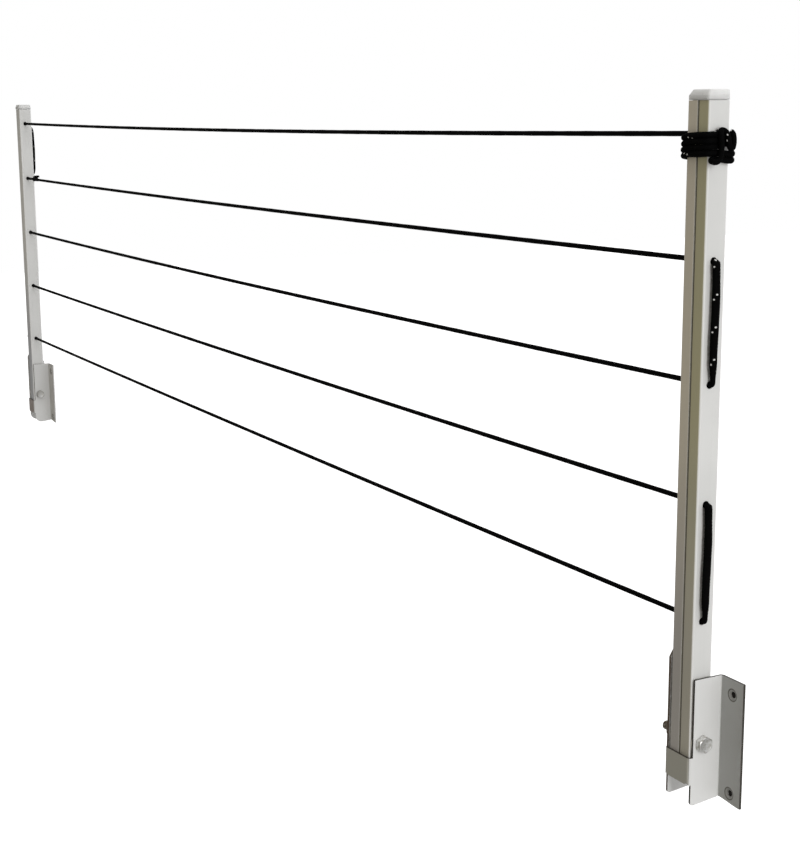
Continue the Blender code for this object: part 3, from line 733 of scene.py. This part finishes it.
def eased(points, passes):
    """An evenly spaced route with its kinks smoothed out; its two ends stay."""
    route = np.array([tuple(p) for p in points])
    for _ in range(passes):
        route[1:-1] = (route[:-2] + 2 * route[1:-1] + route[2:]) / 4
    return [Vector(p) for p in route]


FLECK_SIDE = {2: 0.89, 4: 0.42}     # how far round the cord the flecks sit, by its upper line
LOOP_BOW = 0.0005                   # how far a loop's middle stands off the right arm
LOOP_WIDER = 0.62


def there_and_back(upper):
    """Two neighbouring lines and the loop on the right arm that joins them."""
    lower = upper + 1
    out = line_points(upper)
    back = line_points(lower)[::-1]
    turn = loop_points(1, LINE_Z[upper], LINE_Z[lower], LOOP_BOW)
    name = f"cord_lines_{upper}_{lower}"
    nodes = (f"line_{upper}", f"line_{lower}", f"loop_right_{upper}_{lower}")
    obj, line = braided(name, out + turn + back, replaced=nodes, spread=widened(LOOP_WIDER),
                        start_turn=FLECK_SIDE[upper])


there_and_back(2)
there_and_back(4)

# the winding on the right arm, along the CAD node's route
WRAP_TURNS = 4.0
WRAP_STEPS = 60         # points on each turn
WRAP_PITCH = 0.0047
WRAP_TOP = LINE_Z[1] - 0.0006
WRAP_DIP = 0.0023       # the turns drop on the inner face, to pass under the line
WRAP_DIP_AT = 0.47      # part of a turn at which they do
WRAP_FAN = 0.0024, -0.0022      # at the rear outer corner the upper turns rise, the lower drop
WRAP_FAN_AT = 0.83      # part of a turn at which they do
WRAP_UPPER = 2.4        # the number of upper turns
WRAP_OFF = CORD_R + 0.0005
WRAP_R = 0.0020 + WRAP_OFF


def lap_point(length):
    """A point of the rounded rectangle round the right arm, from the front of its outer face."""
    x0, x1 = INNER - WRAP_OFF, HALF + WRAP_OFF
    y0, y1 = ARM_FRONT - WRAP_OFF, ARM_REAR + WRAP_OFF
    corners = [((x1 - WRAP_R, y0 + WRAP_R), 0), ((x0 + WRAP_R, y0 + WRAP_R), -90),
               ((x0 + WRAP_R, y1 - WRAP_R), -180), ((x1 - WRAP_R, y1 - WRAP_R), -270)]
    quarter = math.pi / 2 * WRAP_R
    wide, deep = x1 - x0 - 2 * WRAP_R, y1 - y0 - 2 * WRAP_R
    for (centre, angle), flat in zip(corners, (wide, deep, wide, deep)):
        if length <= quarter:
            a = math.radians(angle) - length / WRAP_R
            return centre[0] + WRAP_R * math.cos(a), centre[1] + WRAP_R * math.sin(a)
        length -= quarter
        if length <= flat:
            a = math.radians(angle - 90)
            return (centre[0] + WRAP_R * math.cos(a) + length * math.sin(a),
                    centre[1] + WRAP_R * math.sin(a) - length * math.cos(a))
        length -= flat
    return x1, y0 + WRAP_R


LAP = math.tau * WRAP_R + 2 * (ARM_W + ARM_REAR - ARM_FRONT + 4 * WRAP_OFF - 4 * WRAP_R)


def winding_points():
    """The turns, a little uneven in height and in how tightly they lie."""
    points = []
    for k in range(2, int(WRAP_TURNS * WRAP_STEPS) + 1):
        turn = k / WRAP_STEPS
        x, y = lap_point((turn % 1.0) * LAP)
        inner = max(0.0, math.cos(math.tau * (turn - WRAP_DIP_AT)))
        rear = max(0.0, math.cos(math.tau * (turn - WRAP_FAN_AT))) ** 8
        fan = WRAP_FAN[0] if turn < WRAP_UPPER else WRAP_FAN[1]
        uneven = 0.00022 * math.sin(7.3 * turn + 0.4) + 0.00016 * math.sin(17.9 * turn)
        loose = 0.0004 * max(0.0, math.sin(5.1 * turn - 1.0))
        puff = 0.00020 * (1 + math.sin(11.7 * turn)) + loose
        out = Vector((x - (HALF + INNER) / 2, y - (ARM_FRONT + ARM_REAR) / 2)).normalized() * puff
        z = WRAP_TOP - WRAP_PITCH * turn - WRAP_DIP * inner + fan * rear + uneven
        points.append(Vector((x + out.x, y + out.y, z)))
    return points


# the hitch: out from the arm's outer face, y, and height above the last turn or above line 1
HITCH_LOW = (
    (0.0040, -0.0318, -0.0004), (0.0058, -0.0332, -0.0012), (0.0076, -0.0320, -0.0021),
    (0.0082, -0.0292, -0.0022), (0.0082, -0.0262, -0.0006), (0.0079, -0.0249, 0.0026),
    (0.0078, -0.0245, 0.0070), (0.0077, -0.0244, 0.0120))
HITCH_HIGH = (
    (0.0074, -0.0245, -0.0044), (0.0060, -0.0243, -0.0006), (0.0042, -0.0226, 0.0008),
    (0.0040, -0.0198, 0.0006), (0.0058, -0.0180, -0.0008), (0.0074, -0.0175, -0.0046),
    (0.0078, -0.0174, -0.0092), (0.0079, -0.0164, -0.0128), (0.0078, -0.0140, -0.0138),
    (0.0076, -0.0122, -0.0112), (0.0073, -0.0118, -0.0062), (0.0062, -0.0116, -0.0022),
    (0.0036, -0.0114, -0.0008))
HITCH_TOP = LINE_Z[1] + 0.0021
TURN_POINTS = 4         # points from one of these to the next
TURN_PASSES = 10        # of smoothing
PLAIT_TWIST = 11.0      # turns for each metre, that bring the flecks to the front


def top_cord():
    """Line 1, its winding round the right arm and the hitch that ends it."""
    lead = [(HALF + 0.0010, HOLE_Y - 0.0001, LINE_Z[1]),
            (HALF + 0.0023, HOLE_Y - 0.0014, LINE_Z[1]),
            (HALF + 0.0028, HOLE_Y - 0.0046, LINE_Z[1] - 0.0002)]
    coil = winding_points()
    hitch = [(HALF + x, y, coil[-1].z + z) for x, y, z in HITCH_LOW]
    hitch += [(HALF + x, y, HITCH_TOP + z) for x, y, z in HITCH_HIGH]
    turns = eased(catmull(lead + [tuple(p) for p in coil[:-2]] + hitch, TURN_POINTS),
                  TURN_PASSES)
    nodes = ("line_1", "winding_right", "knot_right_top", "knot_right_low")
    obj, line = braided("cord_line_1_and_winding", line_points(1) + turns, replaced=nodes,
                        spread=snug, start_turn=0.03, twist=PLAIT_TWIST)
    return line


top_line = top_cord()


# ---------------------------------------------------------------- cord on the left arm
KNOT_STEPS = 40
KNOT_GAP = 0.42         # part of the closed curve that is left open, in radians at each end
KNOT_DEEP = 1.25
KNOT_LEAD = 0.0030      # straight bit at each end


def overhand(centre, scale, turn):
    """The centreline of an overhand knot pulled tight, with two short leads."""
    points = []
    for k in range(KNOT_STEPS + 1):
        a = KNOT_GAP + (2 * math.pi - 2 * KNOT_GAP) * k / KNOT_STEPS
        r = 2 + math.cos(3 * a)
        spot = Vector((r * math.cos(2 * a), r * math.sin(2 * a), KNOT_DEEP * math.sin(3 * a)))
        points.append(spot * scale)
    first = points[0] + (points[0] - points[1]).normalized() * KNOT_LEAD
    last = points[-1] + (points[-1] - points[-2]).normalized() * KNOT_LEAD
    return [centre + turn @ p for p in [first] + points + [last]]


def rear_stretch():
    """Out of the left arm's top hole, round its rear, down and back to the second hole.

    It is worked out for +X and mirrored. Each of its upper points has its drop from the hole,
    and the lower ones are the same, turned over.
    """
    rear_y = ARM_REAR + CORD_R + 0.0001
    side_x = HALF + CORD_R + 0.0010
    inner_x = INNER + 0.0040
    high, low = LINE_Z[1], LINE_Z[2]
    upper = [(HALF + 0.0009, HOLE_Y, 0.0), (HALF + 0.0022, HOLE_Y + 0.0006, 0.0),
             (side_x + 0.0002, HOLE_Y + 0.0040, 0.0010), (side_x, ARM_REAR - 0.0020, 0.0030),
             (HALF + 0.0008, rear_y - 0.0012, 0.0045), (HALF - 0.0040, rear_y + 0.0002, 0.0060),
             (inner_x + 0.0060, rear_y, 0.0100), (inner_x + 0.0010, rear_y, 0.0170),
             (inner_x, rear_y, 0.0300)]
    points = [(x, y, high - z) for x, y, z in upper]
    points.append((inner_x, rear_y + 0.0004, (high + low) / 2))
    points += [(x, y, low + z) for x, y, z in reversed(upper)]
    return catmull([(-x, y, z) for x, y, z in points], 6)


def knot(name, node, route, radius):
    """A knot of the cord on the left arm, in the place of a CAD node."""
    return braided(name, route, body="left_arm", replaced=(node,), radius=radius)[0]


def middle_of(node):
    low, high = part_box(node)
    return (low + high) / 2


def turned_by(first, first_axis, second, second_axis):
    """The second turn, then the first."""
    return Matrix.Rotation(first, 3, first_axis) @ Matrix.Rotation(second, 3, second_axis)


rear_at = middle_of("knot_left_rear") + Vector((0.0008, -0.0014, 0.0008))
rear_knot = overhand(rear_at, 0.00175, turned_by(1.2, "Z", 0.9, "X"))
rear_knot_piece = knot("cord_knot_left_rear", "knot_left_rear", rear_knot, radius=0.00180)
rear_piece, rear_line = braided("cord_left_rear", rear_stretch(), body="left_arm",
                                replaced=("loop_left_1_2",))

left_loop, left_line = braided("cord_left_loop", loop_points(-1, LINE_Z[3], LINE_Z[4], 0.0012),
                               body="left_arm", replaced=("loop_left_3_4",), spread=widened(0.16))

end_knot = overhand(middle_of("knot_left_end"), 0.00190, turned_by(1.35, "Y", 0.5, "Z"))
knot("cord_knot_left_end", "knot_left_end", end_knot, radius=0.00190)

# ---------------------------------------------------------------- frayed ends
WHISKER = 0.00013               # radius at a whisker's root
WHISKER_SIDES = 0.0, 2.09, 4.19
OFF_WALL = -0.0004              # y that no whisker passes


def fray(name, at, ahead, body, count, reach, seed):
    """Loose yarn ends at a cut cord end, as thin tapered whiskers."""
    rng = np.random.default_rng(seed)
    bm = bmesh.new()
    ahead = Vector(ahead).normalized()
    for _ in range(count):
        lean = Vector(rng.normal(0, 0.42, 3))
        start = Vector(at) + Vector(rng.normal(0, 0.0007, 3))
        way = (ahead + lean).normalized()
        bend = Vector(rng.normal(0, 0.35, 3))
        length = reach * rng.uniform(0.5, 1.0)
        rings = []
        for k in range(4):
            t = k / 3
            spot = start + way * length * t + bend * length * t * t * 0.4
            spot.y = min(spot.y, OFF_WALL)
            size = WHISKER * (1 - 0.75 * t)
            rings.append([
                bm.verts.new(spot + Vector((math.cos(a), math.sin(a), 0.3 * math.cos(a))) * size)
                for a in WHISKER_SIDES])
        for a, b in zip(rings, rings[1:]):
            for k in range(3):
                n = (k + 1) % 3
                bm.faces.new((a[k], a[n], b[n], b[k]))
        bm.faces.new(rings[0][::-1])
        bm.faces.new(rings[-1])
    bmesh.ops.recalc_face_normals(bm, faces=bm.faces)
    return piece(name, mesh_from(bm, name), YARN, body)


fray("frayed_end_left_rear", rear_knot[-1], rear_knot[-1] - rear_knot[-2],
     "left_arm", 22, 0.0042, 11)
fray("frayed_end_left_rear_2", rear_knot[0], rear_knot[0] - rear_knot[1],
     "left_arm", 18, 0.0036, 12)
fray("frayed_end_right", top_line[-1], top_line[-1] - top_line[-4], "right_arm", 20, 0.0026, 13)


# ---------------------------------------------------------------- bolts and nuts
HEX_FLATS = 0.0130
HEX_POINTS = 96         # points on each ring of a hexagon
CROWN = HEX_FLATS / 2 * 0.96    # radius of the round face that is turned off a hexagon
CHAMFER = math.tan(math.radians(30))
HEAD_DEEP = 0.0053      # height of a bolt's head, down to its seat
FOOT = 0.0003           # round foot under it
FOOT_R = HEX_FLATS / 2 * 0.95
BOLT_R = 0.0040
BOLT_POINTS = 48
THREAD_PITCH = 0.00125
THREAD_RINGS = 8        # rings for each turn of the thread
THREAD_DEPTH = 0.00068
THREAD_END = 0.0001     # plain bit at both ends of the thread
GROOVE = 1.12, 0.10     # steepness of its sides, and what its flat crest takes off
FADE = 0.0012, 0.15     # towards the bolt's end the thread gets shallower, down to this part
TAPER_OFF = 0.0045, 0.82        # and the bolt thinner, down to this part
GRIP = 0.0290           # smooth shank under the head
BORE_R = BOLT_R + 0.00008
BORE_LIP = 0.0004       # countersink at both ends of a nut's bore


def hex_radius(angle):
    """Distance from the middle to a hexagon's side, flats facing the wall and the room."""
    third = (angle + math.pi / 6) % (math.pi / 3) - math.pi / 6
    return HEX_FLATS / 2 / math.cos(third)


HEXAGON = [hex_radius(math.tau * k / HEX_POINTS) for k in range(HEX_POINTS)]


def axis_of(node):
    """A fastener's two ends along X, and its middle."""
    low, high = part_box(node)
    return low.x, high.x, Vector((0, (low.y + high.y) / 2, (low.z + high.z) / 2))


def ring_x(x, radii, centre):
    """A ring of points round a line along X."""
    turns = [math.tau * k / len(radii) for k in range(len(radii))]
    return [(x, centre.y + r * math.cos(a), centre.z + r * math.sin(a))
            for a, r in zip(turns, radii)]


def round_ring(x, radius, centre, count=HEX_POINTS):
    return ring_x(x, [radius] * count, centre)


def chamfered(face, sign, centre):
    """A hexagon's ring by one of its turned-off faces; its corners lie back to the sign's side."""
    return [(face + sign * max(0.0, r - CROWN) * CHAMFER, y, z)
            for r, (_, y, z) in zip(HEXAGON, ring_x(face, HEXAGON, centre))]


def bolt_head(name, seat, top, centre):
    rings = [round_ring(seat, FOOT_R, centre), round_ring(seat + FOOT, FOOT_R, centre),
             ring_x(seat + FOOT, HEXAGON, centre), chamfered(top, -1, centre),
             round_ring(top, CROWN, centre),
             round_ring(top - 0.00005, HEX_FLATS / 2 * 0.90, centre),
             round_ring(top - 0.00025, HEX_FLATS / 2 * 0.80, centre)]
    return outward(grid_mesh(name, rings))


def bolt_shank(name, seat, end, centre):
    """Smooth under the head, then threaded, with a pointed last turn."""
    rings = [round_ring(seat + FOOT, BOLT_R, centre, BOLT_POINTS),
             round_ring(seat - GRIP, BOLT_R, centre, BOLT_POINTS)]
    x = seat - GRIP - THREAD_END
    while x > end + THREAD_END:
        fade = min(1.0, (seat - GRIP - x) / (2 * THREAD_PITCH), (x - end) / FADE[0] + FADE[1])
        taper = min(1.0, TAPER_OFF[1] + (x - end) / TAPER_OFF[0])
        radii = []
        for k in range(BOLT_POINTS):
            phase = (x / THREAD_PITCH + k / BOLT_POINTS) % 1.0
            groove = max(0.0, abs(2 * phase - 1) * GROOVE[0] - GROOVE[1])
            radii.append((BOLT_R - THREAD_DEPTH * groove * fade) * taper)
        rings.append(ring_x(x, radii, centre))
        x -= THREAD_PITCH / THREAD_RINGS
    rings.append(round_ring(end, BOLT_R * 0.78, centre, BOLT_POINTS))
    return outward(grid_mesh(name, rings))


def bolt(side):
    """A bolt with a bright head, drawn darker on the left as painted shade; its shank has the
    second material.
    """
    end, top, centre = axis_of(f"pivot_bolt_{side}")
    seat = top - HEAD_DEEP
    head = bolt_head(f"bolt_head_{side}", seat, top, centre)
    bm = bmesh.new()
    bm.from_mesh(bolt_shank(f"bolt_shank_{side}", seat, end, centre))
    for face in bm.faces:
        face.material_index = 1
    bm.from_mesh(head)
    mesh = smoothed(mesh_from(bm, f"bolt_{side}"))
    obj = piece(f"threaded_bolt_{side}", mesh, BOLT_HEAD[side], "wall_brackets",
                (f"pivot_bolt_{side}",))
    obj.data.materials.append(OILED_AND_SHADED_THREAD)


def nut(side):
    """A thin lock nut, turned off at both faces, with a countersunk bore."""
    end, seat, centre = axis_of(f"lock_nut_{side}")
    rings = [round_ring(seat, BORE_R + BORE_LIP, centre), round_ring(seat, CROWN, centre),
             chamfered(seat, -1, centre), chamfered(end, 1, centre),
             round_ring(end, CROWN, centre), round_ring(end, BORE_R + BORE_LIP, centre),
             round_ring(end + BORE_LIP, BORE_R, centre),
             round_ring(seat - BORE_LIP, BORE_R, centre)]
    bm = bmesh.new()
    bm.from_mesh(grid_mesh(f"nut_{side}", rings + rings[:1], closed_ends=False))
    bmesh.ops.remove_doubles(bm, verts=bm.verts, dist=1e-7)
    bmesh.ops.recalc_face_normals(bm, faces=bm.faces)
    piece(f"thin_nut_{side}", smoothed(mesh_from(bm, f"thin_nut_{side}")), OILED_AND_SHADED_THREAD,
          "wall_brackets", (f"lock_nut_{side}",))


for side in SIDES:
    bolt(side)
    nut(side)


# ---------------------------------------------------------------- studio
SIDE_LIGHT = (0.66, 0.66, 0.66, 1.0)
ROOM_LIGHT = (0.305, 0.294, 0.268, 1.0)     # warmer and dimmer, from where the rack faces
ROOM_FROM = 0.10, -0.55                     # Y of the direction where it starts, and is full
WHITE = (1.0, 1.0, 1.0, 1.0)
FLOOR_DROP = 1.0        # the floor lies this far below the rack
FLOOR_HALF = 14.0
DARK_R = 0.0042         # dark discs behind the screw holes: painted shade
DARK_Y = 0.0006


def area_light(name, at, aim, size, power):
    data = bpy.data.lights.new(name, "AREA")
    data.shape = "RECTANGLE"
    data.size, data.size_y = size
    data.energy = power
    obj = placed(name, data)
    obj.location = at
    obj.rotation_euler = (Vector(aim) - Vector(at)).to_track_quat("-Z", "Y").to_euler()


area_light("key", (5.0, -0.35, 1.1), (0.4, 0.0, 0.25), (1.1, 3.0), 76.0)
area_light("top", (0.9, -0.1, 3.2), (0.6, 0.0, 0.3), (2.0, 1.2), 20.0)


def studio_world():
    """White all round, dimmer and warm on the room side; the backdrop itself shows white."""
    world = bpy.data.worlds.new("studio")
    world.use_nodes = True
    scene.world = world
    tree = world.node_tree
    tree.nodes.clear()
    where, split, fade, tint, lit, seen, ray, mix, out = (
        tree.nodes.new("ShaderNode" + kind) for kind in (
            "TexCoord", "SeparateXYZ", "MapRange", "Mix", "Background", "Background",
            "LightPath", "MixShader", "OutputWorld"))
    fade.interpolation_type = "SMOOTHSTEP"
    fade.inputs["From Min"].default_value, fade.inputs["From Max"].default_value = ROOM_FROM
    tint.data_type = "RGBA"
    tint.inputs[6].default_value = SIDE_LIGHT
    tint.inputs[7].default_value = ROOM_LIGHT
    seen.inputs["Color"].default_value = WHITE
    for output, socket in (
            (where.outputs["Generated"], split.inputs[0]),
            (split.outputs["Y"], fade.inputs["Value"]),
            (fade.outputs[0], tint.inputs[0]),
            (tint.outputs[2], lit.inputs["Color"]),
            (ray.outputs["Is Camera Ray"], mix.inputs[0]),
            (lit.outputs[0], mix.inputs[1]),
            (seen.outputs[0], mix.inputs[2]),
            (mix.outputs[0], out.inputs["Surface"])):
        tree.links.new(output, socket)


studio_world()


def floor():
    """A wide pale floor, well below the rack, that lights nothing."""
    bm = bmesh.new()
    bmesh.ops.create_grid(bm, x_segments=2, y_segments=2, size=FLOOR_HALF)
    obj = placed("floor", mesh_from(bm, "floor"))
    obj.location = (0, 0, CAD_BOX[0][2] - FLOOR_DROP)
    pale = Finish("floor_pale", (0.62, 0.62, 0.62), 0.9)
    pale.set("Specular IOR Level", 0.0)
    pale.set("Emission Color", WHITE)
    pale.set("Emission Strength", 0.95)
    obj.data.materials.append(pale.mat)
    obj.visible_diffuse = False
    obj.visible_glossy = False


def hole_shade_discs():
    """Dark discs just behind the flanges' empty screw holes: painted shade where the wall shows
    through.
    """
    dark = Finish("hole_shade", (0.012, 0.011, 0.010), 0.95)
    shade = dark.noise(700.0, 3.0)
    dark.put("Base Color", dark.mix(shade, (0.006, 0.005, 0.005), (0.03, 0.026, 0.022)))
    bm = bmesh.new()
    for sign in SIDES.values():
        for x in (-HOLE_X, HOLE_X):
            for z in (-HOLE_Z, HOLE_Z):
                at = Matrix.Translation((sign * ARM_MIDDLE + x, DARK_Y, z))
                bmesh.ops.create_circle(bm, cap_ends=True, segments=32, radius=DARK_R,
                                        matrix=at @ Matrix.Rotation(math.pi / 2, 4, "X"))
    mesh = mesh_from(bm, "hole_shade_discs")
    mesh.materials.append(dark.mat)
    placed("hole_shade_discs", mesh)


floor()
hole_shade_discs()
scene.view_settings.view_transform = "Standard"
